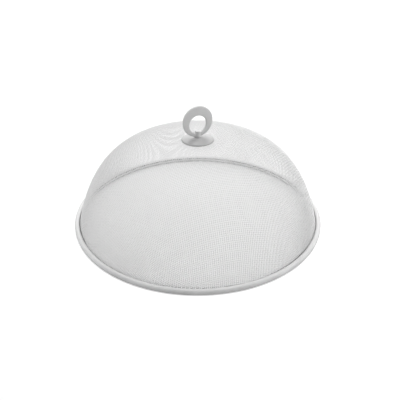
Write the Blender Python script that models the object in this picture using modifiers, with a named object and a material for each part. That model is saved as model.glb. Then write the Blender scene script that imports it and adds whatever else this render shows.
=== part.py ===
"""Mesh food cover: a pressed wire dome in a rolled rim, lifted by a ring handle.

Lengths are in metres and +Z is up. The origin is the centre of the rim on the table.
The ring handle lies in the XZ plane, so its finger hole runs along Y.
"""

import math

import bmesh
import bpy
from mathutils import Matrix, Vector

# Dome, on the middle surface of the mesh: a superellipse turned about the Z axis
DOME_HEIGHT = 0.1194
MOUTH_RADIUS = 0.1696
MOUTH_HEIGHT = 0.0054
CURVE_DROP = 0.3017
CURVE_EXPONENT = 3.55

# Wire net: every wire keeps one pitch between crossings, so the cells shear like woven cloth
NET_PITCH = 0.0196
NET_WIRE = 0.0012
WEAVE_TURN_DEG = -9.5

# Clearances between neighbouring pieces
SEAT_GAP = 0.0003
CRIMP_GAP = 0.0006

# Rim: one strip of sheet, with an inner lip, a flat foot, an outer roll and a flank that grips the mesh
BEAD_HEIGHT = 0.0075
RIM_SHEET = 0.0005
LIP_HEIGHT = 0.0048
LIP_BEND = 0.0010
ROLL_CURL_DEG = 46.0
GROOVE_WIDTH = 0.00103
FLANK_FOOT_HEIGHT = 0.0026
HOOP_WIRE = 0.0038
HOOP_SEAT_DEG = -45.0

# Ring handle: a flat ring with an eccentric finger hole, on a post that stands up into the hole
RING_RADIUS = 0.0217
RING_DEPTH = 0.0040
RING_EDGE = 0.0016
RING_LIFT = 0.0005
FINGER_SHARE = 0.559
FINGER_DROP_SHARE = 0.181
POST_RADIUS = 0.0038
POST_ROUND = 0.0007
POST_STAND = 0.0028
SPIGOT_RADIUS = 0.0029

# Disc between the handle and the mesh, a little wider than the ring
DISC_OVERHANG = 0.0003
DISC_SLOPE_DEG = 15.5
DISC_SHEET = 0.0010
DISC_EDGE = 0.0016

# Clamp washer under the mesh, hidden by the disc, and the screw that pulls the handle down on it
WASHER_INSET = 0.0060
WASHER_DISH = 0.0016
WASHER_SHEET = 0.0010
SCREW_RADIUS = 0.0015
SCREW_HEAD_RADIUS = 0.0030
SCREW_HEAD_HEIGHT = 0.0022
SCREW_HEAD_EDGE = 0.0008
SCREW_GRIP = 0.0065
BORE_SPARE = 0.0008
RECESS_SPAN = 0.0034
RECESS_WIDTH = 0.0009
RECESS_DEPTH = 0.0013
CUT_OVERRUN = 0.0010

# How finely round shapes are divided
RIM_STEPS = 64
HOOP_SIDES = 6
DISC_STEPS = 32
RING_POINTS = 48
FINGER_POINTS = 40
POST_STEPS = 24
SCREW_STEPS = 20
ROUNDING_STEPS = 2
ROLL_STEPS = 7
NEWTON_STEPS = 12
MERGE = 0.000002
TRIM_MERGE_SHARE = 0.3

# Heights and places that follow from the sizes above
CURVE_HEIGHT = DOME_HEIGHT + CURVE_DROP
MOUTH_SHARE = (MOUTH_HEIGHT + CURVE_DROP) / CURVE_HEIGHT
CURVE_REACH = MOUTH_RADIUS / (1 - MOUTH_SHARE**CURVE_EXPONENT) ** (1 / CURVE_EXPONENT)
MESH_TOP = DOME_HEIGHT + NET_WIRE / 2
MESH_UNDERSIDE = DOME_HEIGHT - NET_WIRE / 2
HEM_HEIGHT = RIM_SHEET + CRIMP_GAP + NET_WIRE / 2
MESH_TO_SHEET = NET_WIRE / 2 + CRIMP_GAP + RIM_SHEET / 2
ROLL_RADIUS = (BEAD_HEIGHT - RIM_SHEET) / 2
ROLL_EDGE_RADIUS = MOUTH_RADIUS + NET_WIRE / 2 + GROOVE_WIDTH
ROLL_CENTRE_RADIUS = ROLL_EDGE_RADIUS + ROLL_RADIUS * math.sin(math.radians(ROLL_CURL_DEG))
ROLL_CENTRE_HEIGHT = BEAD_HEIGHT / 2
DISC_RADIUS = RING_RADIUS + DISC_OVERHANG
DISC_SLOPE = math.radians(DISC_SLOPE_DEG)
DISC_ROUND = DISC_EDGE - DISC_SHEET / 2
DISC_ROUND_RADIUS = DISC_RADIUS - DISC_EDGE
DISC_SHOULDER_RADIUS = DISC_ROUND_RADIUS + DISC_ROUND * math.sin(DISC_SLOPE)
DISC_HOLE_RADIUS = SPIGOT_RADIUS + SEAT_GAP
DISC_RISE = (DISC_SHOULDER_RADIUS - DISC_HOLE_RADIUS) * math.tan(DISC_SLOPE) / 2
DISC_EDGE_HEIGHT = MESH_TOP + SEAT_GAP
DISC_SHOULDER_HEIGHT = DISC_EDGE_HEIGHT + DISC_ROUND
DISC_TOP = DISC_SHOULDER_HEIGHT + DISC_SHEET / 2 + DISC_RISE
POST_FOOT = DISC_TOP + SEAT_GAP
RING_BOTTOM = POST_FOOT + RING_LIFT
RING_CENTRE = RING_BOTTOM + RING_RADIUS
FINGER_RADIUS = FINGER_SHARE * RING_RADIUS
FINGER_CENTRE = RING_CENTRE - FINGER_DROP_SHARE * RING_RADIUS
POST_TOP = FINGER_CENTRE - FINGER_RADIUS + POST_STAND
SPIGOT_BOTTOM = MESH_TOP + SEAT_GAP
WASHER_RADIUS = DISC_RADIUS - WASHER_INSET
WASHER_EDGE_HEIGHT = MESH_UNDERSIDE - SEAT_GAP
WASHER_BOTTOM = WASHER_EDGE_HEIGHT - WASHER_SHEET - WASHER_DISH
HEAD_TOP = WASHER_BOTTOM - SEAT_GAP
SCREW_TIP = SPIGOT_BOTTOM + SCREW_GRIP
SCREW_HOLE_RADIUS = SCREW_RADIUS + SEAT_GAP

PART_NAME = "mesh_food_cover"
CUTTER_COLLECTION = "cutters"


def clear_scene():
    """Removes whatever the scene holds."""
    for existing in list(bpy.data.objects):
        bpy.data.objects.remove(existing, do_unlink=True)


def new_collection(name):
    """Makes a collection and links it to the scene."""
    collection = bpy.data.collections.new(name)
    bpy.context.scene.collection.children.link(collection)
    return collection


def new_material(name, colour, roughness, metallic):
    """Makes a plain Principled material."""
    material = bpy.data.materials.new(name)
    material.use_nodes = True
    shader = material.node_tree.nodes["Principled BSDF"]
    shader.inputs["Base Color"].default_value = (*colour, 1.0)
    shader.inputs["Roughness"].default_value = roughness
    shader.inputs["Metallic"].default_value = metallic
    return material


def new_object(name, mesh, collection, material=None):
    """Links a mesh to a collection as a named object."""
    created = bpy.data.objects.new(name, mesh)
    collection.objects.link(created)
    if material:
        mesh.materials.append(material)
    return created


def outline_mesh(name, points, closed=False):
    """Makes a mesh of edges through points given as radius and height."""
    mesh = bpy.data.meshes.new(name)
    edges = [(index, index + 1) for index in range(len(points) - 1)]
    if closed:
        edges.append((len(points) - 1, 0))
    mesh.from_pydata([(radius, 0, height) for radius, height in points], edges, [])
    return mesh


def arc(centre, radius, start_deg, end_deg, steps):
    """Lists points along an arc; angles run from +X towards +Z."""
    points = []
    for step in range(steps + 1):
        angle = math.radians(start_deg + (end_deg - start_deg) * step / steps)
        points.append((centre[0] + radius * math.cos(angle), centre[1] + radius * math.sin(angle)))
    return points


def turn_about_z(turned, steps):
    """Turns an outline once about the Z axis."""
    screw = turned.modifiers.new("turn", "SCREW")
    screw.axis = "Z"
    screw.steps = steps
    screw.render_steps = steps
    screw.use_merge_vertices = True
    screw.merge_threshold = MERGE
    screw.use_smooth_shade = True


def thicken(shell, thickness):
    """Gives an open surface its wall, half on each side."""
    solidify = shell.modifiers.new("sheet", "SOLIDIFY")
    solidify.thickness = thickness
    solidify.offset = 0
    solidify.use_even_offset = True


def combine(target, other, operation):
    """Cuts or joins another object's shape with the target's."""
    boolean = target.modifiers.new(operation.lower(), "BOOLEAN")
    boolean.operation = operation
    boolean.object = other


def hide_cutter(cutter):
    """Marks an object as one that only shapes another."""
    cutter.hide_render = True
    cutter.display_type = "WIRE"


def cylinder_cutter(name, radius, low, high, steps, collection):
    """Makes an upright cylinder on the Z axis that cuts other pieces."""
    outline = [(0, high), (radius, high), (radius, low), (0, low)]
    cutter = new_object(name, outline_mesh(name, outline), collection)
    turn_about_z(cutter, steps)
    hide_cutter(cutter)
    return cutter


def dome_radius_at(height):
    """Gives the radius of the dome's middle surface at a height."""
    share = (height + CURVE_DROP) / CURVE_HEIGHT
    return CURVE_REACH * (1 - share**CURVE_EXPONENT) ** (1 / CURVE_EXPONENT)


def dome_point(x, y):
    """Gives the point of the dome's middle surface above or below x, y."""
    share = math.hypot(x, y) / CURVE_REACH
    height = CURVE_HEIGHT * (1 - share**CURVE_EXPONENT) ** (1 / CURVE_EXPONENT) - CURVE_DROP
    return Vector((x, y, height))


def dome_slopes(x, y):
    """Gives how fast the dome's height changes along x and along y."""
    radius = math.hypot(x, y)
    if radius == 0:
        return 0.0, 0.0
    share = radius / CURVE_REACH
    rest = 1 - share**CURVE_EXPONENT
    fall = -CURVE_HEIGHT / CURVE_REACH * share ** (CURVE_EXPONENT - 1) * rest ** (1 / CURVE_EXPONENT - 1)
    return fall * x / radius, fall * y / radius


def next_on_axis(previous):
    """Finds the crossing one pitch further down a wire that runs over the apex along X."""
    slope, _ = dome_slopes(previous.x, 0)
    x = previous.x + NET_PITCH / math.hypot(1, slope)
    for _ in range(NEWTON_STEPS):
        offset = dome_point(x, 0) - previous
        slope, _ = dome_slopes(x, 0)
        excess = offset.length_squared - NET_PITCH**2
        x -= excess / (2 * (offset.x + offset.z * slope))
    return dome_point(x, 0)


def next_in_quadrant(beside, before, behind):
    """Finds the crossing one pitch from its two neighbours, opposite the one behind them."""
    guess = beside + before - behind
    x, y = guess.x, guess.y
    for _ in range(NEWTON_STEPS):
        point = dome_point(x, y)
        slope_x, slope_y = dome_slopes(x, y)
        rows = []
        for neighbour in (beside, before):
            offset = point - neighbour
            along_x = 2 * (offset.x + offset.z * slope_x)
            along_y = 2 * (offset.y + offset.z * slope_y)
            rows.append((along_x, along_y, offset.length_squared - NET_PITCH**2))
        (a, b, first), (c, d, second) = rows
        determinant = a * d - b * c
        x -= (first * d - b * second) / determinant
        y -= (a * second - first * c) / determinant
    return dome_point(x, y)


def net_crossings():
    """Gives the wire crossings of one quadrant, by their counts along the two wire families."""
    crossings = {(0, 0): dome_point(0, 0)}
    count = 0
    while crossings[count, 0].z > HEM_HEIGHT:
        found = next_on_axis(crossings[count, 0])
        count += 1
        crossings[count, 0] = found
        crossings[0, count] = Vector((0, found.x, found.z))
    for column in range(1, count + 1):
        for row in range(1, count + 1):
            behind = crossings.get((column - 1, row - 1))
            if behind is None or behind.z < HEM_HEIGHT:
                continue
            beside = crossings[column - 1, row]
            before = crossings[column, row - 1]
            crossings[column, row] = next_in_quadrant(beside, before, behind)
    return crossings, count


def net_surface():
    """Makes one face for each cell of the net, trimmed level at the hem."""
    crossings, count = net_crossings()
    net = bmesh.new()
    bmesh.ops.create_grid(net, x_segments=2 * count, y_segments=2 * count, size=count)
    outside = []
    for corner in net.verts:
        column = round(corner.co.x)
        row = round(corner.co.y)
        crossing = crossings.get((abs(column), abs(row)))
        if crossing is None:
            outside.append(corner)
            continue
        corner.co.x = math.copysign(crossing.x, column)
        corner.co.y = math.copysign(crossing.y, row)
        corner.co.z = crossing.z
    bmesh.ops.delete(net, geom=outside, context="VERTS")
    everything = [*net.verts, *net.edges, *net.faces]
    hem = Vector((0, 0, HEM_HEIGHT))
    down = Vector((0, 0, -1))
    bmesh.ops.bisect_plane(net, geom=everything, plane_co=hem, plane_no=down, clear_outer=True)
    edge_corners = [corner for corner in net.verts if corner.is_boundary]
    bmesh.ops.remove_doubles(net, verts=edge_corners, dist=TRIM_MERGE_SHARE * NET_PITCH)
    turn = Matrix.Rotation(math.radians(WEAVE_TURN_DEG), 4, "Z")
    bmesh.ops.transform(net, matrix=turn, verts=net.verts)
    mesh = bpy.data.meshes.new("mesh_dome")
    net.to_mesh(mesh)
    net.free()
    return mesh


def build_mesh_dome(parts, cutters, material):
    """Builds the pressed wire net, with the screw's hole at its apex."""
    dome = new_object("mesh_dome", net_surface(), parts, material)
    wires = dome.modifiers.new("wires", "WIREFRAME")
    wires.thickness = NET_WIRE
    wires.offset = 0
    wires.use_even_offset = True
    wires.use_boundary = True
    wires.use_replace = True
    low = MESH_UNDERSIDE - CUT_OVERRUN
    high = MESH_TOP + CUT_OVERRUN
    hole = cylinder_cutter("apex_hole", SCREW_HOLE_RADIUS + CRIMP_GAP, low, high, SCREW_STEPS, cutters)
    combine(dome, hole, "DIFFERENCE")
    return dome


def build_rim_band(parts, material):
    """Builds the rolled strip: inner lip, flat foot, outer roll and the flank down to the mesh."""
    foot_height = RIM_SHEET / 2
    bend_top = foot_height + LIP_BEND
    lip_foot_radius = dome_radius_at(bend_top) - MESH_TO_SHEET
    lip_top_radius = dome_radius_at(LIP_HEIGHT) - MESH_TO_SHEET
    bend_centre = (lip_foot_radius + LIP_BEND, bend_top)
    roll_centre = (ROLL_CENTRE_RADIUS, ROLL_CENTRE_HEIGHT)
    roll_end_deg = 90.0 + ROLL_CURL_DEG
    flank_foot_radius = dome_radius_at(FLANK_FOOT_HEIGHT) + MESH_TO_SHEET
    outline = [(lip_top_radius, LIP_HEIGHT)]
    outline += arc(bend_centre, LIP_BEND, 180.0, 270.0, ROUNDING_STEPS)
    outline += arc(roll_centre, ROLL_RADIUS, -90.0, roll_end_deg, ROLL_STEPS)
    outline.append((flank_foot_radius, FLANK_FOOT_HEIGHT))
    band = new_object("rim_band", outline_mesh("rim_band", outline), parts, material)
    turn_about_z(band, RIM_STEPS)
    thicken(band, RIM_SHEET)
    return band


def build_rim_hoop(parts, material):
    """Builds the stiffening wire that lies in the roll."""
    play = BEAD_HEIGHT / 2 - RIM_SHEET - HOOP_WIRE / 2 - SEAT_GAP
    seat = math.radians(HOOP_SEAT_DEG)
    centre = (
        ROLL_CENTRE_RADIUS + play * math.cos(seat),
        ROLL_CENTRE_HEIGHT + play * math.sin(seat),
    )
    outline = arc(centre, HOOP_WIRE / 2, 0.0, -360.0, HOOP_SIDES)[:-1]
    hoop = new_object("rim_hoop", outline_mesh("rim_hoop", outline, closed=True), parts, material)
    turn_about_z(hoop, RIM_STEPS)
    return hoop


def build_handle_disc(parts, material):
    """Builds the shallow dished disc that spreads the handle's pull over the mesh."""
    outline = []
    cap_steps = 2 * ROUNDING_STEPS
    for step in range(cap_steps + 1):
        share = step / cap_steps
        radius = DISC_HOLE_RADIUS + (DISC_SHOULDER_RADIUS - DISC_HOLE_RADIUS) * share
        outline.append((radius, DISC_SHOULDER_HEIGHT + DISC_RISE * (1 - share**2)))
    centre = (DISC_ROUND_RADIUS, DISC_SHOULDER_HEIGHT - DISC_ROUND * math.cos(DISC_SLOPE))
    outline += arc(centre, DISC_ROUND, 90.0 - DISC_SLOPE_DEG, 0.0, ROUNDING_STEPS)[1:]
    outline.append((outline[-1][0], DISC_EDGE_HEIGHT))
    disc = new_object("handle_disc", outline_mesh("handle_disc", outline), parts, material)
    turn_about_z(disc, DISC_STEPS)
    thicken(disc, DISC_SHEET)
    return disc


def circle_spline(curve, centre_height, radius, count):
    """Adds a closed round spline to a flat curve."""
    spline = curve.splines.new("POLY")
    spline.points.add(count - 1)
    spline.use_cyclic_u = True
    for index, point in enumerate(spline.points):
        angle = math.tau * (index + 0.5) / count
        x = radius * math.cos(angle)
        y = centre_height + radius * math.sin(angle)
        point.co = (x, y, 0, 1)


def mesh_from_curve(curve_object, name):
    """Turns a curve object into a welded mesh at the same place, and removes the curve."""
    graph = bpy.context.evaluated_depsgraph_get()
    mesh = bpy.data.meshes.new_from_object(curve_object.evaluated_get(graph))
    mesh.transform(curve_object.matrix_world)
    mesh.name = name
    welded = bmesh.new()
    welded.from_mesh(mesh)
    bmesh.ops.remove_doubles(welded, verts=welded.verts, dist=MERGE)
    bmesh.ops.recalc_face_normals(welded, faces=welded.faces)
    welded.to_mesh(mesh)
    welded.free()
    bpy.data.objects.remove(curve_object, do_unlink=True)
    return mesh


def ring_mesh(collection):
    """Makes the flat ring with its rounded edges and eccentric finger hole."""
    curve = bpy.data.curves.new("ring_outline", "CURVE")
    curve.dimensions = "2D"
    curve.fill_mode = "BOTH"
    circle_spline(curve, RING_CENTRE, RING_RADIUS - RING_EDGE, RING_POINTS)
    circle_spline(curve, FINGER_CENTRE, FINGER_RADIUS + RING_EDGE, FINGER_POINTS)
    curve.extrude = RING_DEPTH / 2 - RING_EDGE
    curve.bevel_depth = RING_EDGE
    curve.bevel_resolution = 1
    flat = bpy.data.objects.new("ring_outline", curve)
    collection.objects.link(flat)
    flat.rotation_euler = (math.radians(90), 0, 0)
    bpy.context.view_layer.update()
    return mesh_from_curve(flat, "ring_handle")


def build_ring_handle(parts, cutters, material):
    """Builds the one-piece handle: ring, post through its lower limb, spigot and screw bore."""
    handle = new_object("ring_handle", ring_mesh(parts), parts, material)
    round_centre = (POST_RADIUS - POST_ROUND, POST_TOP - POST_ROUND)
    outline = [(0, POST_TOP)]
    outline += arc(round_centre, POST_ROUND, 90.0, 0.0, ROUNDING_STEPS)
    outline += [(POST_RADIUS, POST_FOOT), (SPIGOT_RADIUS, POST_FOOT)]
    outline += [(SPIGOT_RADIUS, SPIGOT_BOTTOM), (0, SPIGOT_BOTTOM)]
    post = new_object("handle_post", outline_mesh("handle_post", outline), cutters)
    turn_about_z(post, POST_STEPS)
    hide_cutter(post)
    combine(handle, post, "UNION")
    bore_end = SCREW_TIP + BORE_SPARE
    bore_start = SPIGOT_BOTTOM - CUT_OVERRUN
    bore = cylinder_cutter("screw_bore", SCREW_HOLE_RADIUS, bore_start, bore_end, SCREW_STEPS, cutters)
    combine(handle, bore, "DIFFERENCE")
    return handle


def build_clamp_washer(parts, material):
    """Builds the dished washer that backs the mesh from inside."""
    half = WASHER_SHEET / 2
    edge_height = WASHER_EDGE_HEIGHT - half
    outline = []
    dish_steps = 2 * ROUNDING_STEPS
    for step in range(dish_steps + 1):
        share = step / dish_steps
        radius = SCREW_HOLE_RADIUS + (WASHER_RADIUS - SCREW_HOLE_RADIUS) * share
        outline.append((radius, edge_height - WASHER_DISH * (1 - share**2)))
    washer = new_object("clamp_washer", outline_mesh("clamp_washer", outline), parts, material)
    turn_about_z(washer, DISC_STEPS)
    thicken(washer, WASHER_SHEET)
    return washer


def recess_cutter(name, long_axis, cutters):
    """Makes one slot of the screw's cross recess."""
    slot = bmesh.new()
    bmesh.ops.create_cube(slot, size=1)
    spans = [RECESS_WIDTH, RECESS_WIDTH, RECESS_DEPTH + CUT_OVERRUN]
    spans[long_axis] = RECESS_SPAN
    bmesh.ops.scale(slot, vec=spans, verts=slot.verts)
    head_bottom = HEAD_TOP - SCREW_HEAD_HEIGHT
    middle = head_bottom + (RECESS_DEPTH - CUT_OVERRUN) / 2
    bmesh.ops.translate(slot, vec=(0, 0, middle), verts=slot.verts)
    mesh = bpy.data.meshes.new(name)
    slot.to_mesh(mesh)
    slot.free()
    cutter = new_object(name, mesh, cutters)
    hide_cutter(cutter)
    return cutter


def build_handle_screw(parts, cutters, material):
    """Builds the pan-head screw that enters from below."""
    head_bottom = HEAD_TOP - SCREW_HEAD_HEIGHT
    edge_centre = (SCREW_HEAD_RADIUS - SCREW_HEAD_EDGE, head_bottom + SCREW_HEAD_EDGE)
    outline = [(0, SCREW_TIP), (SCREW_RADIUS, SCREW_TIP), (SCREW_RADIUS, HEAD_TOP)]
    outline += [(SCREW_HEAD_RADIUS, HEAD_TOP)]
    outline += arc(edge_centre, SCREW_HEAD_EDGE, 0.0, -90.0, ROUNDING_STEPS)
    outline += [(0, head_bottom)]
    screw = new_object("handle_screw", outline_mesh("handle_screw", outline), parts, material)
    turn_about_z(screw, SCREW_STEPS)
    for name, long_axis in (("recess_along_x", 0), ("recess_along_y", 1)):
        combine(screw, recess_cutter(name, long_axis, cutters), "DIFFERENCE")
    return screw


def main():
    """Builds every piece of the cover."""
    clear_scene()
    parts = new_collection(PART_NAME)
    cutters = new_collection(CUTTER_COLLECTION)
    coat = new_material("coated_wire", (0.85, 0.85, 0.85), 0.45, 0.0)
    band_coat = new_material("coated_band", (0.82, 0.82, 0.82), 0.4, 0.0)
    disc_coat = new_material("disc_coat", (0.50, 0.50, 0.50), 0.32, 0.0)
    plastic = new_material("handle_plastic", (0.76, 0.76, 0.76), 0.32, 0.0)
    zinc = new_material("zinc_steel", (0.62, 0.62, 0.60), 0.35, 1.0)
    build_mesh_dome(parts, cutters, coat)
    build_rim_band(parts, band_coat)
    build_rim_hoop(parts, zinc)
    build_handle_disc(parts, disc_coat)
    build_ring_handle(parts, cutters, plastic)
    build_clamp_washer(parts, zinc)
    build_handle_screw(parts, cutters, zinc)


if __name__ == "__main__":
    main()
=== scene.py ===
"""Looks of the mesh food cover: woven wire dome, rolled rim, ring handle and its clamp.

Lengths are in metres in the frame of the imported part: +Z is up, and the origin is the
centre of the rim on the table.
"""

import logging
import math
from abc import ABC, abstractmethod
from dataclasses import dataclass, field, replace
from enum import Enum

import bmesh
import bpy
from mathutils import Matrix, Vector


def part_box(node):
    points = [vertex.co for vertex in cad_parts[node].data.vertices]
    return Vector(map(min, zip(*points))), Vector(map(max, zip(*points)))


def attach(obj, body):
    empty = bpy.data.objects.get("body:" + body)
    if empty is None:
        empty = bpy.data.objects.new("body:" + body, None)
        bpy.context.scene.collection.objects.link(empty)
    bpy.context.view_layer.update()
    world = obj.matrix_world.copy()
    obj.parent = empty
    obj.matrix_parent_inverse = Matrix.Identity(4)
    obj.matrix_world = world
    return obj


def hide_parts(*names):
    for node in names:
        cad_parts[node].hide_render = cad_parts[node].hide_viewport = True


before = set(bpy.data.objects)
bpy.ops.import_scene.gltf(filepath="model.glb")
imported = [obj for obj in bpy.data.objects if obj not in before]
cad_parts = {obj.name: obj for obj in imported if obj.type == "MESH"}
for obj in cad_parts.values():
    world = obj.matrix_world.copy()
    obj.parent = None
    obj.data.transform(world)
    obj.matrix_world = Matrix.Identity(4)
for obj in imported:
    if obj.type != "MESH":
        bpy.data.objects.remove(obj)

log = logging.getLogger("mesh_food_cover")

Outline = list[tuple[float, float]]
Triple = tuple[float, float, float]
Tree = bpy.types.NodeTree
Socket = bpy.types.NodeSocket
Sockets = bpy.types.bpy_prop_collection

BODY = "root"
WELD = 0.000001
QUARTER_DEG = 90.0
WHITE = (1.0, 1.0, 1.0, 1.0)


class WireFamily(Enum):
    """The two directions in which the cloth's wires run."""

    WARP = "warp"
    WEFT = "weft"


class ShaderOutput(Enum):
    """What the surface groups put out."""

    COLOUR = "Color"
    ROUGHNESS = "Roughness"
    HEIGHT = "Height"


def arc(
    centre: tuple[float, float], radius: float, start_deg: float, end_deg: float, steps: int
) -> Outline:
    """Lists points along an arc in the plane of radius and height.

    Args:
        centre: Radius and height of the arc's centre.
        radius: The arc's radius.
        start_deg: Angle of the first point, from the radius axis towards up.
        end_deg: Angle of the last point.
        steps: How many steps the arc is divided into.

    Returns:
        The points, both ends included.
    """
    points = []
    for step in range(steps + 1):
        angle = math.radians(start_deg + (end_deg - start_deg) * step / steps)
        points.append((centre[0] + radius * math.cos(angle), centre[1] + radius * math.sin(angle)))
    return points


def away_by(distance: float, bearing_deg: float, elevation_deg: float) -> Vector:
    """Gives the offset to a point that is seen at a bearing and an elevation.

    Args:
        distance: How far the point is.
        bearing_deg: Its bearing, counted from -Y towards +X.
        elevation_deg: Its elevation over the table.

    Returns:
        The offset.
    """
    bearing, elevation = math.radians(bearing_deg), math.radians(elevation_deg)
    level = distance * math.cos(elevation)
    lift = distance * math.sin(elevation)
    return Vector((level * math.sin(bearing), -level * math.cos(bearing), lift))


def link_object(name: str, data: bpy.types.ID) -> bpy.types.Object:
    """Makes an object of some data and links it to the scene.

    Args:
        name: The new object's name.
        data: Its mesh, curve, camera or lamp.

    Returns:
        The linked object, at the origin.
    """
    created = bpy.data.objects.new(name, data)
    bpy.context.scene.collection.objects.link(created)
    return created


def plain_mesh(source: bpy.types.Object, name: str) -> bpy.types.Object:
    """Replaces an object by a plain mesh of what it evaluates to.

    Args:
        source: The object whose modifiers are applied. It is removed.
        name: The name of the result.

    Returns:
        A mesh object without modifiers.
    """
    bpy.context.view_layer.update()
    graph = bpy.context.evaluated_depsgraph_get()
    mesh = bpy.data.meshes.new_from_object(source.evaluated_get(graph), depsgraph=graph)
    mesh.transform(source.matrix_world)
    bpy.data.objects.remove(source, do_unlink=True)
    mesh.name = name
    return link_object(name, mesh)


def turned(name: str, outline: Outline, steps: int, sheet: float = 0.0) -> bpy.types.Object:
    """Turns an outline once about the Z axis, with a wall if it is of sheet.

    Args:
        name: The new object's name.
        outline: Points as radius and height, running down the outer side.
        steps: How many steps the turn has.
        sheet: The sheet's thickness, or 0 for a solid outline.

    Returns:
        The turned object as a plain mesh.
    """
    mesh = bpy.data.meshes.new(name)
    edges = [(index, index + 1) for index in range(len(outline) - 1)]
    mesh.from_pydata([(radius, 0, height) for radius, height in outline], edges, [])
    shape = link_object(name, mesh)
    screw = shape.modifiers.new("turn", "SCREW")
    screw.axis = "Z"
    screw.steps = steps
    screw.render_steps = steps
    screw.use_merge_vertices = True
    screw.merge_threshold = WELD
    if sheet:
        solidify = shape.modifiers.new("sheet", "SOLIDIFY")
        solidify.thickness = sheet
        solidify.offset = 0
        solidify.use_even_offset = True
    return plain_mesh(shape, name)


def smooth(piece: bpy.types.Object, sharp_deg: float) -> None:
    """Shades a piece smooth, apart from its sharp edges.

    Args:
        piece: The piece to shade.
        sharp_deg: Edges that turn by more than this stay sharp.
    """
    piece.data.shade_smooth()
    piece.data.set_sharp_from_angle(angle=math.radians(sharp_deg))


def combine(target: bpy.types.Object, other: bpy.types.Object, operation: str) -> bpy.types.Object:
    """Joins or cuts one solid with another, which is used up.

    Args:
        target: The solid that is kept.
        other: The solid that is joined to it or cut from it.
        operation: The Boolean's operation.

    Returns:
        The result as a plain mesh under the target's name.
    """
    boolean = target.modifiers.new("combine", "BOOLEAN")
    boolean.operation = operation
    boolean.object = other
    result = plain_mesh(target, target.name)
    bpy.data.objects.remove(other, do_unlink=True)
    return result


def group_socket(tree: Tree, name: str, direction: str, kind: str, value: object = None) -> None:
    """Adds a named socket to a node group.

    Args:
        tree: The node group.
        name: The socket's name.
        direction: INPUT or OUTPUT.
        kind: The socket's type, without its common prefix.
        value: The default of an input.
    """
    sort = f"NodeSocket{kind}"
    socket = tree.interface.new_socket(name=name, in_out=direction, socket_type=sort)
    if value is not None:
        socket.default_value = value


def feed(tree: Tree, socket: Socket, part: object) -> None:
    """Links a socket to an input, or gives the input a value of its own.

    Args:
        tree: The node tree that holds both.
        socket: The input.
        part: An output to link it to, or a constant.
    """
    if isinstance(part, Socket):
        tree.links.new(part, socket)
    else:
        socket.default_value = part


def add_node(
    tree: Tree, kind: str, inputs: dict[str | int, object], **settings: object
) -> Sockets:
    """Adds a node, sets it and feeds its inputs.

    Args:
        tree: The tree that takes it.
        kind: The node's type.
        inputs: A socket or a constant for each input that isn't left alone.
        settings: The node's own settings, which come before its inputs.

    Returns:
        The node's outputs.
    """
    node = tree.nodes.new(kind)
    for name, value in settings.items():
        setattr(node, name, value)
    for name, part in inputs.items():
        feed(tree, node.inputs[name], part)
    return node.outputs


def compute(tree: Tree, operation: str, *parts: object, kind: str = "Math") -> Socket:
    """Adds one computing node and gives its result.

    Args:
        tree: The tree that takes it.
        operation: What it computes.
        parts: A socket or a constant for each of its open inputs in turn.
        kind: Math, or VectorMath where it reads vectors.

    Returns:
        The node's output that holds the result.
    """
    node = tree.nodes.new(f"ShaderNode{kind}")
    node.operation = operation
    for socket, part in zip((socket for socket in node.inputs if socket.enabled), parts):
        feed(tree, socket, part)
    return next(output for output in node.outputs if output.enabled)


def smooth_rise(tree: Tree, value: Socket, start: object, end: object, height: float) -> Socket:
    """Makes a value rise smoothly from 0 over a range of another value.

    Args:
        tree: The tree that takes the node.
        value: The value that it follows.
        start: Where it is still 0, a socket or a constant.
        end: Where it reaches its height, over or under the start.
        height: How high it goes.

    Returns:
        The rising value.
    """
    inputs = {"Value": value, "From Min": start, "From Max": end, "To Min": 0.0, "To Max": height}
    return add_node(tree, "ShaderNodeMapRange", inputs, interpolation_type="SMOOTHSTEP")["Result"]


def grey(tone: float) -> Triple:
    """Gives a neutral colour.

    Args:
        tone: How light it is.

    Returns:
        The colour.
    """
    return tone, tone, tone


class ShaderGroup(ABC):
    """A shader node group that is built once and shared by its materials."""

    group_name: str

    def tree(self) -> Tree:
        """Gives the group, and builds it the first time.

        Returns:
            The shader node group.
        """
        found = bpy.data.node_groups.get(self.group_name)
        if found is None:
            found = bpy.data.node_groups.new(self.group_name, "ShaderNodeTree")
            self.fill(found)
        return found

    @abstractmethod
    def fill(self, tree: Tree) -> None:
        """Gives the new group its sockets and nodes.

        Args:
            tree: The empty group.
        """


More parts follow.
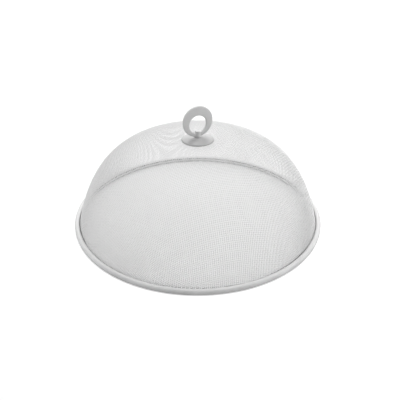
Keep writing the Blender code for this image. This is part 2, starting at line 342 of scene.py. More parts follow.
@dataclass(frozen=True)
class SurfaceGrain(ShaderGroup):
    """The surface of a coat or a moulding: a slow drift of tone and a fine grain.

    It reads a vector and puts out a colour, a roughness and a height for a bump.
    """

    group_name: str = "surface_grain"
    tone_scale: float = 14.0
    tone_detail: float = 4.0
    fine_detail: float = 3.0
    fine_share: float = 0.35
    mean: float = 0.5

    def fill(self, tree: Tree) -> None:
        """Gives the new group its sockets and nodes.

        Args:
            tree: The empty group.
        """
        group_socket(tree, "Vector", "INPUT", "Vector")
        for name in ("Light Colour", "Dark Colour"):
            group_socket(tree, name, "INPUT", "Color")
        for name in ("Roughness", "Roughness Spread", "Grain Scale"):
            group_socket(tree, name, "INPUT", "Float")
        for output in ShaderOutput:
            kind = "Color" if output is ShaderOutput.COLOUR else "Float"
            group_socket(tree, output.value, "OUTPUT", kind)
        entry = tree.nodes.new("NodeGroupInput").outputs
        noise = {"Vector": entry["Vector"], "Scale": self.tone_scale, "Detail": self.tone_detail}
        drift = add_node(tree, "ShaderNodeTexNoise", noise)["Fac"]
        noise |= {"Scale": entry["Grain Scale"], "Detail": self.fine_detail}
        grain = add_node(tree, "ShaderNodeTexNoise", noise)["Fac"]
        mixed = {"Factor": self.fine_share, "A": drift, "B": grain}
        blend = add_node(tree, "ShaderNodeMix", mixed, data_type="FLOAT")["Result"]
        colour_a, colour_b, colour_out = 6, 7, 2
        tones = {"Factor": blend, colour_a: entry["Light Colour"], colour_b: entry["Dark Colour"]}
        tint = add_node(tree, "ShaderNodeMix", tones, data_type="RGBA")[colour_out]
        uneven = compute(tree, "SUBTRACT", blend, self.mean)
        gloss = compute(tree, "MULTIPLY_ADD", uneven, entry["Roughness Spread"], entry["Roughness"])
        results = {
            ShaderOutput.COLOUR.value: tint,
            ShaderOutput.ROUGHNESS.value: gloss,
            ShaderOutput.HEIGHT.value: grain,
        }
        add_node(tree, "NodeGroupOutput", results)


@dataclass(frozen=True)
class Share:
    """How much of a turn round the Z axis a line takes up.

    The line shows where the dot product of a point's direction with side, plus off_side, is
    over 0, and in full from 1.
    """

    side: Triple = (0.0, 0.0, 0.0)
    off_side: float = 1.0


@dataclass(frozen=True)
class WearAndShadeLine(ShaderGroup):
    """A line round an axis that paints shade, light or rubbed wear into a surface's colour.

    It reads a vector, a colour and a roughness, and puts out both with the line on them.
    """

    radius: float
    width: float
    shade: float
    added_roughness: float
    evenness: float
    plane: Triple = (1.0, 1.0, 0.0)
    centre: Triple = (0.0, 0.0, 0.0)
    share: Share = Share()
    patch_scale: float = 35.0
    patch_detail: float = 5.0
    patch_low: float = 0.4
    patch_high: float = 0.6
    group_name: str = "wear_and_shade_line"

    def fill(self, tree: Tree) -> None:
        """Gives the new group its sockets and nodes.

        Args:
            tree: The empty group.
        """
        for name in ("Vector", "Plane", "Centre", "Side"):
            group_socket(tree, name, "INPUT", "Vector")
        for name in ("Radius", "Width", "Shade", "Added Roughness", "Off Side", "Evenness"):
            group_socket(tree, name, "INPUT", "Float")
        for direction in ("INPUT", "OUTPUT"):
            group_socket(tree, ShaderOutput.COLOUR.value, direction, "Color")
            group_socket(tree, ShaderOutput.ROUGHNESS.value, direction, "Float")
        entry = tree.nodes.new("NodeGroupInput").outputs
        moved = compute(tree, "SUBTRACT", entry["Vector"], entry["Centre"], kind="VectorMath")
        flat = compute(tree, "MULTIPLY", moved, entry["Plane"], kind="VectorMath")
        length = compute(tree, "LENGTH", flat, kind="VectorMath")
        off = compute(tree, "ABSOLUTE", compute(tree, "SUBTRACT", length, entry["Radius"]))
        band = smooth_rise(tree, off, entry["Width"], 0.0, 1.0)
        noise = {"Vector": entry["Vector"], "Scale": self.patch_scale, "Detail": self.patch_detail}
        patches = {
            "Value": add_node(tree, "ShaderNodeTexNoise", noise)["Fac"],
            "From Min": self.patch_low,
            "From Max": self.patch_high,
            "To Min": entry["Evenness"],
        }
        spread = add_node(tree, "ShaderNodeMapRange", patches)["Result"]
        bearing = compute(tree, "NORMALIZE", moved, kind="VectorMath")
        along = compute(tree, "DOT_PRODUCT", bearing, entry["Side"], kind="VectorMath")
        facing = compute(tree, "MINIMUM", compute(tree, "ADD", along, entry["Off Side"]), 1.0)
        mask = compute(tree, "MULTIPLY", band, spread)
        mask = compute(tree, "MULTIPLY", mask, compute(tree, "MAXIMUM", facing, 0.0))
        change = compute(tree, "SUBTRACT", entry["Shade"], 1.0)
        factor = compute(tree, "MULTIPLY_ADD", mask, change, 1.0)
        colour = entry[ShaderOutput.COLOUR.value]
        shaded = compute(tree, "SCALE", colour, factor, kind="VectorMath")
        rough = entry[ShaderOutput.ROUGHNESS.value]
        rough = compute(tree, "MULTIPLY_ADD", mask, entry["Added Roughness"], rough)
        results = {ShaderOutput.COLOUR.value: shaded, ShaderOutput.ROUGHNESS.value: rough}
        add_node(tree, "NodeGroupOutput", results)

    def add_to(self, tree: Tree, vector: Socket, surface: Sockets) -> Sockets:
        """Puts the line on a surface in a material.

        Args:
            tree: The material's node tree.
            vector: The vector that the line reads.
            surface: Outputs with the surface's colour and roughness.

        Returns:
            The group's outputs, with the same names.
        """
        inputs = {
            "Vector": vector,
            "Plane": self.plane,
            "Centre": self.centre,
            "Side": self.share.side,
            "Off Side": self.share.off_side,
            "Radius": self.radius,
            "Width": self.width,
            "Shade": self.shade,
            "Added Roughness": self.added_roughness,
            "Evenness": self.evenness,
        }
        for output in (ShaderOutput.COLOUR, ShaderOutput.ROUGHNESS):
            inputs[output.value] = surface[output.value]
        return add_node(tree, "ShaderNodeGroup", inputs, node_tree=self.tree())


@dataclass(frozen=True)
class Finish:
    """A finish: two close tones, a gloss, a grain, its metal, and lines of painted shade, painted
    light and wear.
    """

    name: str
    light: Triple
    dark: Triple
    roughness: float
    roughness_spread: float = 0.1
    metallic: float = 0.0
    coat: float = 0.0
    coat_roughness: float = 0.2
    grain_scale: float = 900.0
    bump: float = 0.1
    bump_distance: float = 0.0001
    lines: tuple[WearAndShadeLine, ...] = ()

    def material(self) -> bpy.types.Material:
        """Gives the finish as a material, and builds it the first time.

        Returns:
            A material whose shader reads the surface group and the lines on it.
        """
        found = bpy.data.materials.get(self.name)
        if found:
            return found
        material = bpy.data.materials.new(self.name)
        material.use_nodes = True
        tree = material.node_tree
        vector = tree.nodes.new("ShaderNodeTexCoord").outputs["Object"]
        inputs = {
            "Vector": vector,
            "Light Colour": (*self.light, 1.0),
            "Dark Colour": (*self.dark, 1.0),
            "Roughness": self.roughness,
            "Roughness Spread": self.roughness_spread,
            "Grain Scale": self.grain_scale,
        }
        grain = add_node(tree, "ShaderNodeGroup", inputs, node_tree=SurfaceGrain().tree())
        surface = grain
        for line in self.lines:
            surface = line.add_to(tree, vector, surface)
        relief = {
            "Strength": self.bump,
            "Distance": self.bump_distance,
            "Height": grain[ShaderOutput.HEIGHT.value],
        }
        looks = {
            "Metallic": self.metallic,
            "Coat Weight": self.coat,
            "Coat Roughness": self.coat_roughness,
            "Base Color": surface[ShaderOutput.COLOUR.value],
            "Roughness": surface[ShaderOutput.ROUGHNESS.value],
            "Normal": add_node(tree, "ShaderNodeBump", relief)["Normal"],
        }
        for name, part in looks.items():
            feed(tree, tree.nodes["Principled BSDF"].inputs[name], part)
        return material


BACK_HALF = Share(side=(1.24, 2.73, 0.0), off_side=0.0)
FRONT_HALF = Share(side=(0.0, -1.6, 0.0), off_side=0.0)
LEFT_END = Share(side=(-29.6, 6.0, 0.0), off_side=-28.9)
FRONT_END = Share(side=(-9.2, -17.7, 0.0), off_side=-18.8)
FRONT_RIGHT = Share(side=(13.0, -37.8, 0.0), off_side=-38.4)

# Painted shade: darkens the band in the narrow groove where the mesh goes into the rim.
CRIMP_SHADE = WearAndShadeLine(radius=0.1703, width=0.0011, shade=0.75, added_roughness=0.15, evenness=0.6)
# Painted shade: a near-black line in the same groove, on the far side and at the left end only.
CRIMP_DEEP_SHADE = replace(CRIMP_SHADE, shade=0.10, evenness=0.9)
# Painted light: lightens the face of the inner lip.
LIP_PAINTED_LIGHT = WearAndShadeLine(radius=0.1687, width=0.0009, shade=1.28, added_roughness=-0.05, evenness=0.9)
# Painted shade: darkens the outer roll on the camera's side, and roughens it.
RIM_FRONT_SHADE = WearAndShadeLine(
    radius=0.1770, width=0.0028, shade=0.87, added_roughness=0.12, evenness=0.0, share=FRONT_HALF
)
# Painted shade: darkens the wires just above the hem, where they go into the rim's groove.
HEM_SHADE = WearAndShadeLine(
    radius=0.0054,
    width=0.0014,
    shade=0.08,
    added_roughness=0.15,
    evenness=0.8,
    plane=(0.0, 0.0, 1.0),
)
DISC_RUB = WearAndShadeLine(radius=0.0220, width=0.0010, shade=1.06, added_roughness=-0.06, evenness=0.2)
# Painted light: lightens the disc round the post's foot, where the post and ring shade it.
DISC_PAINTED_LIGHT = WearAndShadeLine(radius=0.004, width=0.0085, shade=1.28, added_roughness=-0.04, evenness=0.85)
# Painted shade: darkens the top of the post, and roughens it.
POST_SHADE = WearAndShadeLine(
    radius=0.0,
    width=0.0075,
    shade=0.82,
    added_roughness=0.20,
    evenness=0.9,
    plane=(1.0, 1.0, 1.0),
    centre=(0.0, 0.0, 0.1335),
)
# Lines on the band: painted shade in the groove and on the roll's camera side, and painted light on
# the inner lip.
BAND_LINES = (
    CRIMP_SHADE,
    replace(CRIMP_DEEP_SHADE, share=LEFT_END),
    replace(CRIMP_DEEP_SHADE, share=BACK_HALF),
    RIM_FRONT_SHADE,
    LIP_PAINTED_LIGHT,
)
# Lines on the wires: painted shade near the hem, stronger on some sides.
HEM_LINES = (
    replace(HEM_SHADE, share=BACK_HALF),
    replace(HEM_SHADE, share=LEFT_END),
    replace(HEM_SHADE, share=FRONT_END),
    replace(HEM_SHADE, share=FRONT_RIGHT, shade=0.4),
)

WIRE_COAT = Finish(
    "wire_coat", grey(0.865), grey(0.825), roughness=0.45, grain_scale=1200.0, lines=HEM_LINES
)
BAND_COAT = Finish(
    "band_coat", grey(0.74), grey(0.69), roughness=0.38, coat=0.15, bump=0.06, lines=BAND_LINES
)
DISC_COAT = Finish(
    "disc_paint",
    grey(0.40),
    grey(0.365),
    roughness=0.34,
    coat=0.15,
    bump=0.04,
    lines=(DISC_RUB, DISC_PAINTED_LIGHT),
)
HANDLE_PLASTIC = Finish(
    "moulded_grey", grey(0.74), grey(0.69), roughness=0.32, coat=0.2, bump=0.04, lines=(POST_SHADE,)
)
ZINC_PLATE = Finish(
    "zinc_plate", (0.68, 0.68, 0.66), (0.56, 0.56, 0.55), roughness=0.34, metallic=1.0, bump=0.08
)


@dataclass(frozen=True)
class DomeCurve:
    """The dome's middle surface: a superellipse turned about the Z axis."""

    height: float = 0.1194
    mouth_radius: float = 0.1696
    mouth_height: float = 0.0054
    drop: float = 0.3017
    exponent: float = 3.55

    @property
    def rise(self) -> float:
        """The curve's own height, from its centre to the apex."""
        return self.height + self.drop

    @property
    def reach(self) -> float:
        """The curve's own radius, at the height of its centre."""
        mouth_share = (self.mouth_height + self.drop) / self.rise
        return self.mouth_radius / (1 - mouth_share**self.exponent) ** (1 / self.exponent)

    def radius_at(self, height: float) -> float:
        """Gives the dome's radius at a height.

        Args:
            height: Height over the table.

        Returns:
            The radius of the middle surface.
        """
        share = (height + self.drop) / self.rise
        return self.reach * (1 - share**self.exponent) ** (1 / self.exponent)

    def point(self, x: float, y: float) -> Vector:
        """Gives the point of the middle surface above x, y.

        Args:
            x: First coordinate.
            y: Second coordinate.

        Returns:
            The point on the dome.
        """
        share = math.hypot(x, y) / self.reach
        height = self.rise * (1 - share**self.exponent) ** (1 / self.exponent) - self.drop
        return Vector((x, y, height))

    def slopes(self, x: float, y: float) -> tuple[float, float]:
        """Gives how fast the height changes along x and along y.

        Args:
            x: First coordinate.
            y: Second coordinate.

        Returns:
            Both slopes.
        """
        radius = math.hypot(x, y)
        if radius == 0:
            return 0.0, 0.0
        share = radius / self.reach
        rest = 1 - share**self.exponent
        fall = -self.rise / self.reach * share ** (self.exponent - 1)
        fall *= rest ** (1 / self.exponent - 1)
        return fall * x / radius, fall * y / radius

    def normal(self, x: float, y: float) -> Vector:
        """Gives the outward normal above x, y.

        Args:
            x: First coordinate.
            y: Second coordinate.

        Returns:
            The unit normal.
        """
        slope_x, slope_y = self.slopes(x, y)
        return Vector((-slope_x, -slope_y, 1)).normalized()


@dataclass
class ClothNet:
    """The crossings of wires that keep one pitch while they follow the dome."""

    curve: DomeCurve
    pitch: float = 0.00248
    hem: float = 0.0015
    solver_steps: int = 6
    crossings: dict[tuple[int, int], Vector] = field(default_factory=dict)
    count: int = 0

    def _next_on_axis(self, previous: Vector) -> Vector:
        """Finds the next crossing down the wire that runs over the apex along X.

        Args:
            previous: The crossing before it.

        Returns:
            The crossing one pitch further down.
        """
        slope, _ = self.curve.slopes(previous.x, 0)
        x = previous.x + self.pitch / math.hypot(1, slope)
        for _ in range(self.solver_steps):
            offset = self.curve.point(x, 0) - previous
            slope, _ = self.curve.slopes(x, 0)
            x -= (offset.length_squared - self.pitch**2) / (2 * (offset.x + offset.z * slope))
        return self.curve.point(x, 0)

    def _next_in_quadrant(self, beside: Vector, before: Vector, behind: Vector) -> Vector:
        """Finds the crossing one pitch from two neighbours.

        Args:
            beside: The neighbour on the same weft wire.
            before: The neighbour on the same warp wire.
            behind: The crossing that both neighbours share.

        Returns:
            The crossing opposite the shared one.
        """
        guess = beside + before - behind
        x, y = guess.x, guess.y
        for _ in range(self.solver_steps):
            point = self.curve.point(x, y)
            slope_x, slope_y = self.curve.slopes(x, y)
            rows = []
            for neighbour in (beside, before):
                offset = point - neighbour
                along_x = 2 * (offset.x + offset.z * slope_x)
                along_y = 2 * (offset.y + offset.z * slope_y)
                rows.append((along_x, along_y, offset.length_squared - self.pitch**2))
            (a, b, first), (c, d, second) = rows
            determinant = a * d - b * c
            x -= (first * d - b * second) / determinant
            y -= (a * second - first * c) / determinant
        return self.curve.point(x, y)

    def solve(self) -> None:
        """Fills in the crossings of one quadrant, down to the hem."""
        self.crossings = {(0, 0): self.curve.point(0, 0)}
        while self.crossings[self.count, 0].z > self.hem:
            found = self._next_on_axis(self.crossings[self.count, 0])
            self.count += 1
            self.crossings[self.count, 0] = found
            self.crossings[0, self.count] = Vector((0, found.x, found.z))
        for column in range(1, self.count + 1):
            for row in range(1, self.count + 1):
                behind = self.crossings.get((column - 1, row - 1))
                if behind is None or behind.z < self.hem:
                    continue
                beside = self.crossings[column - 1, row]
                before = self.crossings[column, row - 1]
                self.crossings[column, row] = self._next_in_quadrant(beside, before, behind)

    def crossing(self, column: int, row: int) -> Vector | None:
        """Gives a crossing of the whole net, whose quadrants mirror each other.

        Args:
            column: Count along the warp's direction, negative on the far side.
            row: Count along the weft's direction.

        Returns:
            The crossing, or None past the hem.
        """
        found = self.crossings.get((abs(column), abs(row)))
        if found is None:
            return None
        return Vector((math.copysign(found.x, column), math.copysign(found.y, row), found.z))

    def wire(self, family: WireFamily, index: int) -> list[tuple[Vector, int]]:
        """Lists the crossings along one wire, cut level at the hem.

        Args:
            family: Whether it is a warp or a weft wire.
            index: The wire's count from the one over the apex.

        Returns:
            Each point with 1 where the wire passes over and -1 where it passes under.
        """
        along: list[tuple[Vector, int]] = []
        over = 1 if family is WireFamily.WARP else -1
        for step in range(-self.count, self.count + 1):
            column, row = (step, index) if family is WireFamily.WARP else (index, step)
            point = self.crossing(column, row)
            if point is not None:
                along.append((point, over if (column + row) % 2 == 0 else -over))
        return self._cut_at_hem(along)

    def _cut_at_hem(self, along: list[tuple[Vector, int]]) -> list[tuple[Vector, int]]:
        """Cuts a wire where it passes the hem.

        Args:
            along: The wire's points from end to end.

        Returns:
            The points above the hem, with both ends on it.
        """
        inside = [index for index, (point, _) in enumerate(along) if point.z > self.hem]
        if not inside:
            return []
        first, last = inside[0], inside[-1]
        kept = along[first : last + 1]
        if first > 0:
            kept.insert(0, self._hem_end(along[first], along[first - 1]))
        if last < len(along) - 1:
            kept.append(self._hem_end(along[last], along[last + 1]))
        return kept

    def _hem_end(self, above: tuple[Vector, int], below: tuple[Vector, int]) -> tuple[Vector, int]:
        """Finds where a wire crosses the hem.

        Args:
            above: The last point above the hem, with its side.
            below: The first point below it, with its side.

        Returns:
            The end point, with the side that it is nearer to.
        """
        share = (above[0].z - self.hem) / (above[0].z - below[0].z)
        nearer = above if share < 1 / 2 else below
        return above[0].lerp(below[0], share), nearer[1]


@dataclass
class MeshDome:
    """The pressed dome of plain-woven wire cloth."""

    net: ClothNet
    wire: float = 0.00054
    wire_sides: int = 6
    turn_deg: float = -9.5
    apex_hole: float = 0.0019
    finish: Finish = WIRE_COAT
    over_attribute: str = "over"
    lift_attribute: str = "lift"

    def wire_tree(self) -> Tree:
        """Builds the node tree that turns lines into woven wires.

        Returns:
            A geometry node group with inputs for diameter, sides and finish.
        """
        tree = bpy.data.node_groups.new("woven_wires", "GeometryNodeTree")
        group_socket(tree, "Geometry", "INPUT", "Geometry")
        group_socket(tree, "Wire Diameter", "INPUT", "Float", self.wire)
        group_socket(tree, "Wire Sides", "INPUT", "Int", self.wire_sides)
        group_socket(tree, "Finish", "INPUT", "Material")
        group_socket(tree, "Geometry", "OUTPUT", "Geometry")
        entry = tree.nodes.new("NodeGroupInput").outputs
        held = ((self.over_attribute, "FLOAT"), (self.lift_attribute, "FLOAT_VECTOR"))
        over, lift = (
            add_node(tree, "GeometryNodeInputNamedAttribute", {"Name": name}, data_type=kind)
            for name, kind in held
        )
        radius = compute(tree, "DIVIDE", entry["Wire Diameter"], 2.0)
        height = compute(tree, "MULTIPLY", radius, over["Attribute"])
        offset = compute(tree, "SCALE", lift["Attribute"], height, kind="VectorMath")
        lines = add_node(tree, "GeometryNodeMeshToCurve", {"Mesh": entry["Geometry"]})
        moved = {"Geometry": lines["Curve"], "Offset": offset}
        woven = add_node(tree, "GeometryNodeSetPosition", moved)
        circle = {"Resolution": entry["Wire Sides"], "Radius": radius}
        section = add_node(tree, "GeometryNodeCurvePrimitiveCircle", circle)
        swept = {"Curve": woven["Geometry"], "Profile Curve": section["Curve"], "Fill Caps": True}
        tubes = add_node(tree, "GeometryNodeCurveToMesh", swept)
        realized = add_node(tree, "GeometryNodeRealizeInstances", {"Geometry": tubes["Mesh"]})
        dressing = {"Geometry": realized["Geometry"], "Material": entry["Finish"]}
        dressed = add_node(tree, "GeometryNodeSetMaterial", dressing)
        add_node(tree, "NodeGroupOutput", {"Geometry": dressed["Geometry"]})
        return tree

    def line_object(self, name: str, family: WireFamily, indices: range) -> bpy.types.Object:
        """Makes the centre lines of some wires, with the side on which each point lies.

        Args:
            name: The new object's name.
            family: Which way the wires run.
            indices: Which wires, counted from the apex.

        Returns:
            An object of edges with the over and lift attributes.
        """
        points: list[Vector] = []
        edges: list[tuple[int, int]] = []
        sides: list[float] = []
        for index in indices:
            previous = None
            for point, side in self.net.wire(family, index):
                if math.hypot(point.x, point.y) < self.apex_hole:
                    previous = None
                    continue
                points.append(point)
                sides.append(float(side))
                if previous is not None:
                    edges.append((previous, len(points) - 1))
                previous = len(points) - 1
        mesh = bpy.data.meshes.new(name)
        mesh.from_pydata(points, edges, [])
        over = mesh.attributes.new(self.over_attribute, "FLOAT", "POINT")
        over.data.foreach_set("value", sides)
        lifts = [part for point in points for part in self.net.curve.normal(point.x, point.y)]
        lift = mesh.attributes.new(self.lift_attribute, "FLOAT_VECTOR", "POINT")
        lift.data.foreach_set("vector", lifts)
        return link_object(name, mesh)

    def build(self) -> list[bpy.types.Object]:
        """Builds the wires of both families, each in two halves.

        Returns:
            Four pieces that together stand for the dome's node.
        """
        self.net.solve()
        tree = self.wire_tree()
        sockets = tree.interface.items_tree
        inputs = {item.name: item.identifier for item in sockets if item.in_out == "INPUT"}
        last = self.net.count
        halves = {"near": range(-last, 0), "far": range(0, last + 1)}
        turn = Matrix.Rotation(math.radians(self.turn_deg), 4, "Z")
        pieces = []
        for family in WireFamily:
            for half, indices in halves.items():
                lines = self.line_object(f"{family.value}_lines_{half}", family, indices)
                modifier = lines.modifiers.new("woven_wires", "NODES")
                modifier.node_group = tree
                modifier[inputs["Wire Diameter"]] = self.wire
                modifier[inputs["Wire Sides"]] = self.wire_sides
                modifier[inputs["Finish"]] = self.finish.material()
                piece = plain_mesh(lines, f"{family.value}_wires_{half}")
                piece.data.transform(turn)
                piece.data.shade_smooth()
                for attribute in (self.over_attribute, self.lift_attribute):
                    held = piece.data.attributes.get(attribute)
                    if held:
                        piece.data.attributes.remove(held)
                pieces.append(piece)
        return pieces


@dataclass
class RimBand:
    """The strip rolled round the mesh edge: inner lip, flat foot, outer roll and flank."""

    curve: DomeCurve
    bead: float = 0.0075
    sheet: float = 0.0005
    lip_height: float = 0.0048
    bend: float = 0.0010
    curl_deg: float = 46.0
    groove: float = 0.00109
    flank_foot: float = 0.0026
    cloth: float = 0.00108
    crimp: float = 0.0001
    steps: int = 192
    roll_steps: int = 26
    bend_steps: int = 6
    lip_steps: int = 4
    sharp_deg: float = 40.0
    finish: Finish = BAND_COAT

    def outline(self) -> Outline:
        """Works out the strip's middle line, from the lip's top to the flank's foot.

        Returns:
            Points as radius and height.
        """
        to_sheet = self.cloth / 2 + self.crimp + self.sheet / 2
        roll = (self.bead - self.sheet) / 2
        roll_edge = self.curve.mouth_radius + self.cloth / 2 + self.groove
        centre = (roll_edge + roll * math.sin(math.radians(self.curl_deg)), self.bead / 2)
        bend_top = self.sheet / 2 + self.bend
        points = []
        for step in range(self.lip_steps):
            height = self.lip_height + (bend_top - self.lip_height) * step / self.lip_steps
            points.append((self.curve.radius_at(height) - to_sheet, height))
        bend_radius = self.curve.radius_at(bend_top) - to_sheet + self.bend
        bend_centre = (bend_radius, bend_top)
        points += arc(bend_centre, self.bend, 2 * QUARTER_DEG, 3 * QUARTER_DEG, self.bend_steps)
        points += arc(centre, roll, -QUARTER_DEG, QUARTER_DEG + self.curl_deg, self.roll_steps)
        points.append((self.curve.radius_at(self.flank_foot) + to_sheet, self.flank_foot))
        return points

    def build(self) -> bpy.types.Object:
        """Turns the strip once round.

        Returns:
            The rim's piece.
        """
        band = turned("rolled_rim", self.outline(), self.steps, self.sheet)
        smooth(band, self.sharp_deg)
        band.data.materials.append(self.finish.material())
        return band


@dataclass
class HandleDisc:
    """The dished disc between the handle's post and the mesh."""

    bottom: float
    radius: float = 0.0220
    slope_deg: float = 15.5
    sheet: float = 0.0010
    edge: float = 0.0016
    hole: float = 0.0032
    steps: int = 96
    cap_steps: int = 14
    edge_steps: int = 6
    sharp_deg: float = 50.0
    finish: Finish = DISC_COAT

    def outline(self) -> Outline:
        """Works out the sheet's middle line, from the hole to the edge on the mesh.

        Returns:
            Points as radius and height.
        """
        slope = math.radians(self.slope_deg)
        bend = self.edge - self.sheet / 2
        bend_radius = self.radius - self.edge
        run = bend_radius + bend * math.sin(slope) - self.hole
        rise = run * math.tan(slope) / 2
        shoulder = self.bottom + bend
        points = []
        for step in range(self.cap_steps + 1):
            share = step / self.cap_steps
            points.append((self.hole + run * share, shoulder + rise * (1 - share**2)))
        centre = (bend_radius, shoulder - bend * math.cos(slope))
        points += arc(centre, bend, QUARTER_DEG - self.slope_deg, 0.0, self.edge_steps)[1:]
        points.append((points[-1][0], self.bottom))
        return points

    def build(self) -> bpy.types.Object:
        """Turns the disc once round.

        Returns:
            The disc's piece.
        """
        disc = turned("dished_disc", self.outline(), self.steps, self.sheet)
        smooth(disc, self.sharp_deg)
        disc.data.materials.append(self.finish.material())
        return disc


@dataclass
class RingHandle:
    """The one-piece handle: flat ring, post through its lower limb, and spigot."""

    bottom: float
    top: float
    ring_radius: float = 0.0217
    depth: float = 0.0040
    edge: float = 0.0016
    ring_lift: float = 0.0005
    finger_radius: float = 0.01213
    finger_drop: float = 0.00393
    post_radius: float = 0.0038
    post_round: float = 0.0007
    post_stand: float = 0.0028
    spigot_radius: float = 0.0029
    bore_radius: float = 0.0018
    bore_depth: float = 0.0073
    ring_points: int = 128
    finger_points: int = 112
    bevel_steps: int = 4
    post_steps: int = 64
    round_steps: int = 5
    overrun: float = 0.001
    sharp_deg: float = 35.0
    finish: Finish = HANDLE_PLASTIC

    @property
    def ring_centre(self) -> float:
        """Height of the ring's centre."""
        return self.top - self.ring_radius

    @property
    def finger_centre(self) -> float:
        """Height of the finger hole's centre."""
        return self.ring_centre - self.finger_drop

    @staticmethod
    def _circle(curve: bpy.types.Curve, height: float, radius: float, count: int) -> None:
        """Adds a closed round spline to a flat curve.

        Args:
            curve: The curve that takes it.
            height: Height of the circle's centre.
            radius: The circle's radius.
            count: How many points it has.
        """
        spline = curve.splines.new("POLY")
        spline.points.add(count - 1)
        spline.use_cyclic_u = True
        for index, point in enumerate(spline.points):
            angle = math.tau * (index + 1 / 2) / count
            point.co = (radius * math.cos(angle), height + radius * math.sin(angle), 0, 1)

    def _ring(self) -> bpy.types.Object:
        """Makes the flat ring with rounded edges.

        Returns:
            The ring as a closed mesh.
        """
        curve = bpy.data.curves.new("ring_outline", "CURVE")
        curve.dimensions = "2D"
        curve.fill_mode = "BOTH"
        self._circle(curve, self.ring_centre, self.ring_radius - self.edge, self.ring_points)
        self._circle(curve, self.finger_centre, self.finger_radius + self.edge, self.finger_points)
        curve.extrude = self.depth / 2 - self.edge
        curve.bevel_depth = self.edge
        curve.bevel_resolution = self.bevel_steps
        flat = link_object("ring_outline", curve)
        flat.rotation_euler = (math.radians(QUARTER_DEG), 0, 0)
        ring = plain_mesh(flat, "ring_grip")
        welded = bmesh.new()
        welded.from_mesh(ring.data)
        bmesh.ops.remove_doubles(welded, verts=welded.verts, dist=WELD)
        bmesh.ops.recalc_face_normals(welded, faces=welded.faces)
        welded.to_mesh(ring.data)
        welded.free()
        return ring

    def build(self) -> bpy.types.Object:
        """Joins ring, post and spigot, and bores them for the screw.

        Returns:
            The handle's piece.
        """
        post_foot = self.ring_centre - self.ring_radius - self.ring_lift
        post_top = self.finger_centre - self.finger_radius + self.post_stand
        round_centre = (self.post_radius - self.post_round, post_top - self.post_round)
        rounded = arc(round_centre, self.post_round, QUARTER_DEG, 0.0, self.round_steps)
        outline = [(0, post_top), *rounded]
        outline += [(self.post_radius, post_foot), (self.spigot_radius, post_foot)]
        outline += [(self.spigot_radius, self.bottom), (0, self.bottom)]
        handle = combine(self._ring(), turned("post", outline, self.post_steps), "UNION")
        bore_top = self.bottom + self.bore_depth
        bore_foot = self.bottom - self.overrun
        bore = [(0, bore_top), (self.bore_radius, bore_top)]
        bore += [(self.bore_radius, bore_foot), (0, bore_foot)]
        handle = combine(handle, turned("bore", bore, self.post_steps), "DIFFERENCE")
        smooth(handle, self.sharp_deg)
        handle.data.materials.clear()
        handle.data.materials.append(self.finish.material())
        return handle


@dataclass
class StudioCamera:
    """The camera at the photograph's viewing angle."""

    distance: float = 0.7502
    elevation_deg: float = 33.18
    azimuth_deg: float = -24.5
    turn_right_deg: float = 0.285
    tilt_up_deg: float = 1.582
    lens_mm: float = 45.66
    sensor_mm: float = 36.0

    def build(self) -> None:
        """Makes the camera and sets it as the scene's own."""
        data = bpy.data.cameras.new("studio_camera")
        data.lens = self.lens_mm
        data.sensor_width = self.sensor_mm
        camera = link_object("studio_camera", data)
        camera.location = away_by(self.distance, self.azimuth_deg, self.elevation_deg)
        pitch = math.radians(QUARTER_DEG - self.elevation_deg + self.tilt_up_deg)
        heading = math.radians(self.azimuth_deg) - math.radians(self.turn_right_deg)
        camera.rotation_euler = (pitch, 0, heading)
        bpy.context.scene.camera = camera


@dataclass(frozen=True)
class Softbox:
    """One large soft lamp that the camera doesn't see."""

    name: str
    bearing_deg: float
    elevation_deg: float
    distance: float
    width: float
    height: float
    power: float

    def build(self, camera_azimuth_deg: float, aim: Vector) -> None:
        """Hangs the lamp and turns it to the object.

        Args:
            camera_azimuth_deg: Where the camera stands. The lamp's bearing counts from there.
            aim: The point that the lamp faces.
        """
        data = bpy.data.lights.new(self.name, "AREA")
        data.shape = "RECTANGLE"
        data.size = self.width
        data.size_y = self.height
        data.energy = self.power
        lamp = link_object(self.name, data)
        away = away_by(self.distance, camera_azimuth_deg + self.bearing_deg, self.elevation_deg)
        lamp.location = aim + away
        lamp.rotation_euler = away.to_track_quat("Z", "Y").to_euler()
        lamp.visible_camera = False


# Name, bearing, elevation, distance, width, height, power.
SOFTBOXES = (
    Softbox("top_softbox", 180.0, 84.0, 1.5, 2.0, 2.0, 20.6),
    Softbox("left_softbox", -90.0, 22.0, 1.4, 1.4, 1.4, 4.2),
    Softbox("right_softbox", 90.0, 22.0, 1.4, 1.4, 1.4, 9.1),
    Softbox("back_softbox", 180.0, 18.0, 1.5, 2.2, 0.9, 8.2),
    Softbox("high_softbox", 180.0, 50.0, 1.5, 1.6, 1.0, 4.1),
)


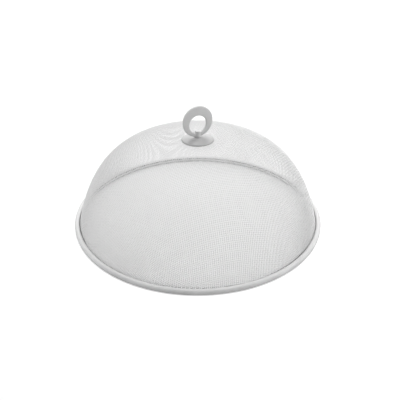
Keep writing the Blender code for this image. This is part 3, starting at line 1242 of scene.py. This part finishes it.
@dataclass
class Studio:
    """The white floor, the soft lamps and the white surroundings.

    The floor glows a little, for the camera only: inner_glow at its centre, plus rises over the
    distance from there. Each rise is where it starts, where it ends and how high it goes. The
    near rises count on the camera's side only. The rises just outside the rim are painted light
    that lifts the rim's contact shadow on the floor, most of all on the camera's side.
    """

    camera_azimuth_deg: float
    floor_size: float = 12.0
    floor_tone: float = 0.8
    floor_roughness: float = 0.9
    inner_glow: float = 0.140
    glow_rises: tuple[Triple, ...] = ((0.1720, 0.1755, 0.079), (0.6, 1.6, 0.6))
    near_painted_light: tuple[Triple, ...] = ((0.1745, 0.1775, 0.36), (0.181, 0.215, -0.36))
    near_reach: tuple[float, float] = (-0.06, 0.10)
    world_light: float = 0.19
    aim_height: float = 0.06
    softboxes: tuple[Softbox, ...] = SOFTBOXES

    def _glow(self, tree: Tree) -> Socket:
        """Works out how much the floor glows from place to place.

        Args:
            tree: The floor's node tree.

        Returns:
            The strength of the glow.
        """
        spot = tree.nodes.new("ShaderNodeTexCoord").outputs["Object"]
        away = compute(tree, "LENGTH", spot, kind="VectorMath")
        azimuth = math.radians(self.camera_azimuth_deg)
        to_camera = (math.sin(azimuth), -math.cos(azimuth), 0.0)
        nearer = compute(tree, "DOT_PRODUCT", spot, to_camera, kind="VectorMath")
        near: Socket | float = 0.0
        for rise in self.near_painted_light:
            near = compute(tree, "ADD", near, smooth_rise(tree, away, *rise))
        glow: Socket | float = self.inner_glow
        for rise in self.glow_rises:
            glow = compute(tree, "ADD", glow, smooth_rise(tree, away, *rise))
        near_side = smooth_rise(tree, nearer, *self.near_reach, 1.0)
        return compute(tree, "MULTIPLY_ADD", near, near_side, glow)

    def floor(self) -> None:
        """Makes the floor, white to the camera; it keeps the shadow, save where painted light lifts
        it.
        """
        mesh = bpy.data.meshes.new("floor")
        sheet = bmesh.new()
        bmesh.ops.create_grid(sheet, x_segments=1, y_segments=1, size=self.floor_size / 2)
        sheet.to_mesh(mesh)
        sheet.free()
        floor = link_object("floor", mesh)
        material = bpy.data.materials.new("floor_white")
        material.use_nodes = True
        tree = material.node_tree
        rays = tree.nodes.new("ShaderNodeLightPath").outputs
        looks = {
            "Base Color": (*grey(self.floor_tone), 1.0),
            "Roughness": self.floor_roughness,
            "Specular IOR Level": 0.0,
            "Emission Color": WHITE,
            "Emission Strength": compute(tree, "MULTIPLY", rays["Is Camera Ray"], self._glow(tree)),
        }
        for name, part in looks.items():
            feed(tree, tree.nodes["Principled BSDF"].inputs[name], part)
        mesh.materials.append(material)

    def world(self) -> None:
        """Makes the surroundings: white to the camera and to gloss, plain light to the rest."""
        world = bpy.data.worlds.new("studio")
        bpy.context.scene.world = world
        world.use_nodes = True
        tree = world.node_tree
        rays = tree.nodes.new("ShaderNodeLightPath").outputs
        strength: Socket | float = self.world_light
        for name in ("Is Camera Ray", "Is Transmission Ray", "Is Glossy Ray"):
            strength = compute(tree, "MAXIMUM", strength, rays[name])
        background = tree.nodes["Background"]
        feed(tree, background.inputs["Color"], WHITE)
        feed(tree, background.inputs["Strength"], strength)

    def build(self) -> None:
        """Sets up the floor, the surroundings and the lamps."""
        self.floor()
        self.world()
        aim = Vector((0, 0, self.aim_height))
        for softbox in self.softboxes:
            softbox.build(self.camera_azimuth_deg, aim)
        bpy.context.scene.view_settings.view_transform = "Standard"


def dress_node(name: str, finish: Finish) -> None:
    """Gives a node of the frame its finish and keeps its shape.

    Args:
        name: The node's name.
        finish: The finish that it gets.
    """
    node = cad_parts[name]
    node.data.materials.clear()
    node.data.materials.append(finish.material())
    log.info("%s keeps its shape", name)


def place(piece: bpy.types.Object, node: str) -> None:
    """Hands a finished piece over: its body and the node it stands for.

    Args:
        piece: The finished piece.
        node: The node of the frame that it replaces.
    """
    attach(piece, BODY)
    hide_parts(node)
    log.info("%s replaces %s: %d faces", piece.name, node, len(piece.data.polygons))


def main() -> None:
    """Builds and dresses every piece."""
    logging.basicConfig(level=logging.INFO, format="%(message)s")
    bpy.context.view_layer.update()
    camera = StudioCamera()
    camera.build()
    Studio(camera.azimuth_deg).build()
    curve = DomeCurve()
    for piece in MeshDome(ClothNet(curve)).build():
        place(piece, "mesh_dome")
    place(RimBand(curve).build(), "rim_band")
    disc_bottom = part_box("handle_disc")[0].z
    place(HandleDisc(disc_bottom).build(), "handle_disc")
    handle_low, handle_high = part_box("ring_handle")
    place(RingHandle(handle_low.z, handle_high.z).build(), "ring_handle")
    for name in ("rim_hoop", "clamp_washer", "handle_screw"):
        dress_node(name, ZINC_PLATE)


if __name__ == "__main__":
    main()
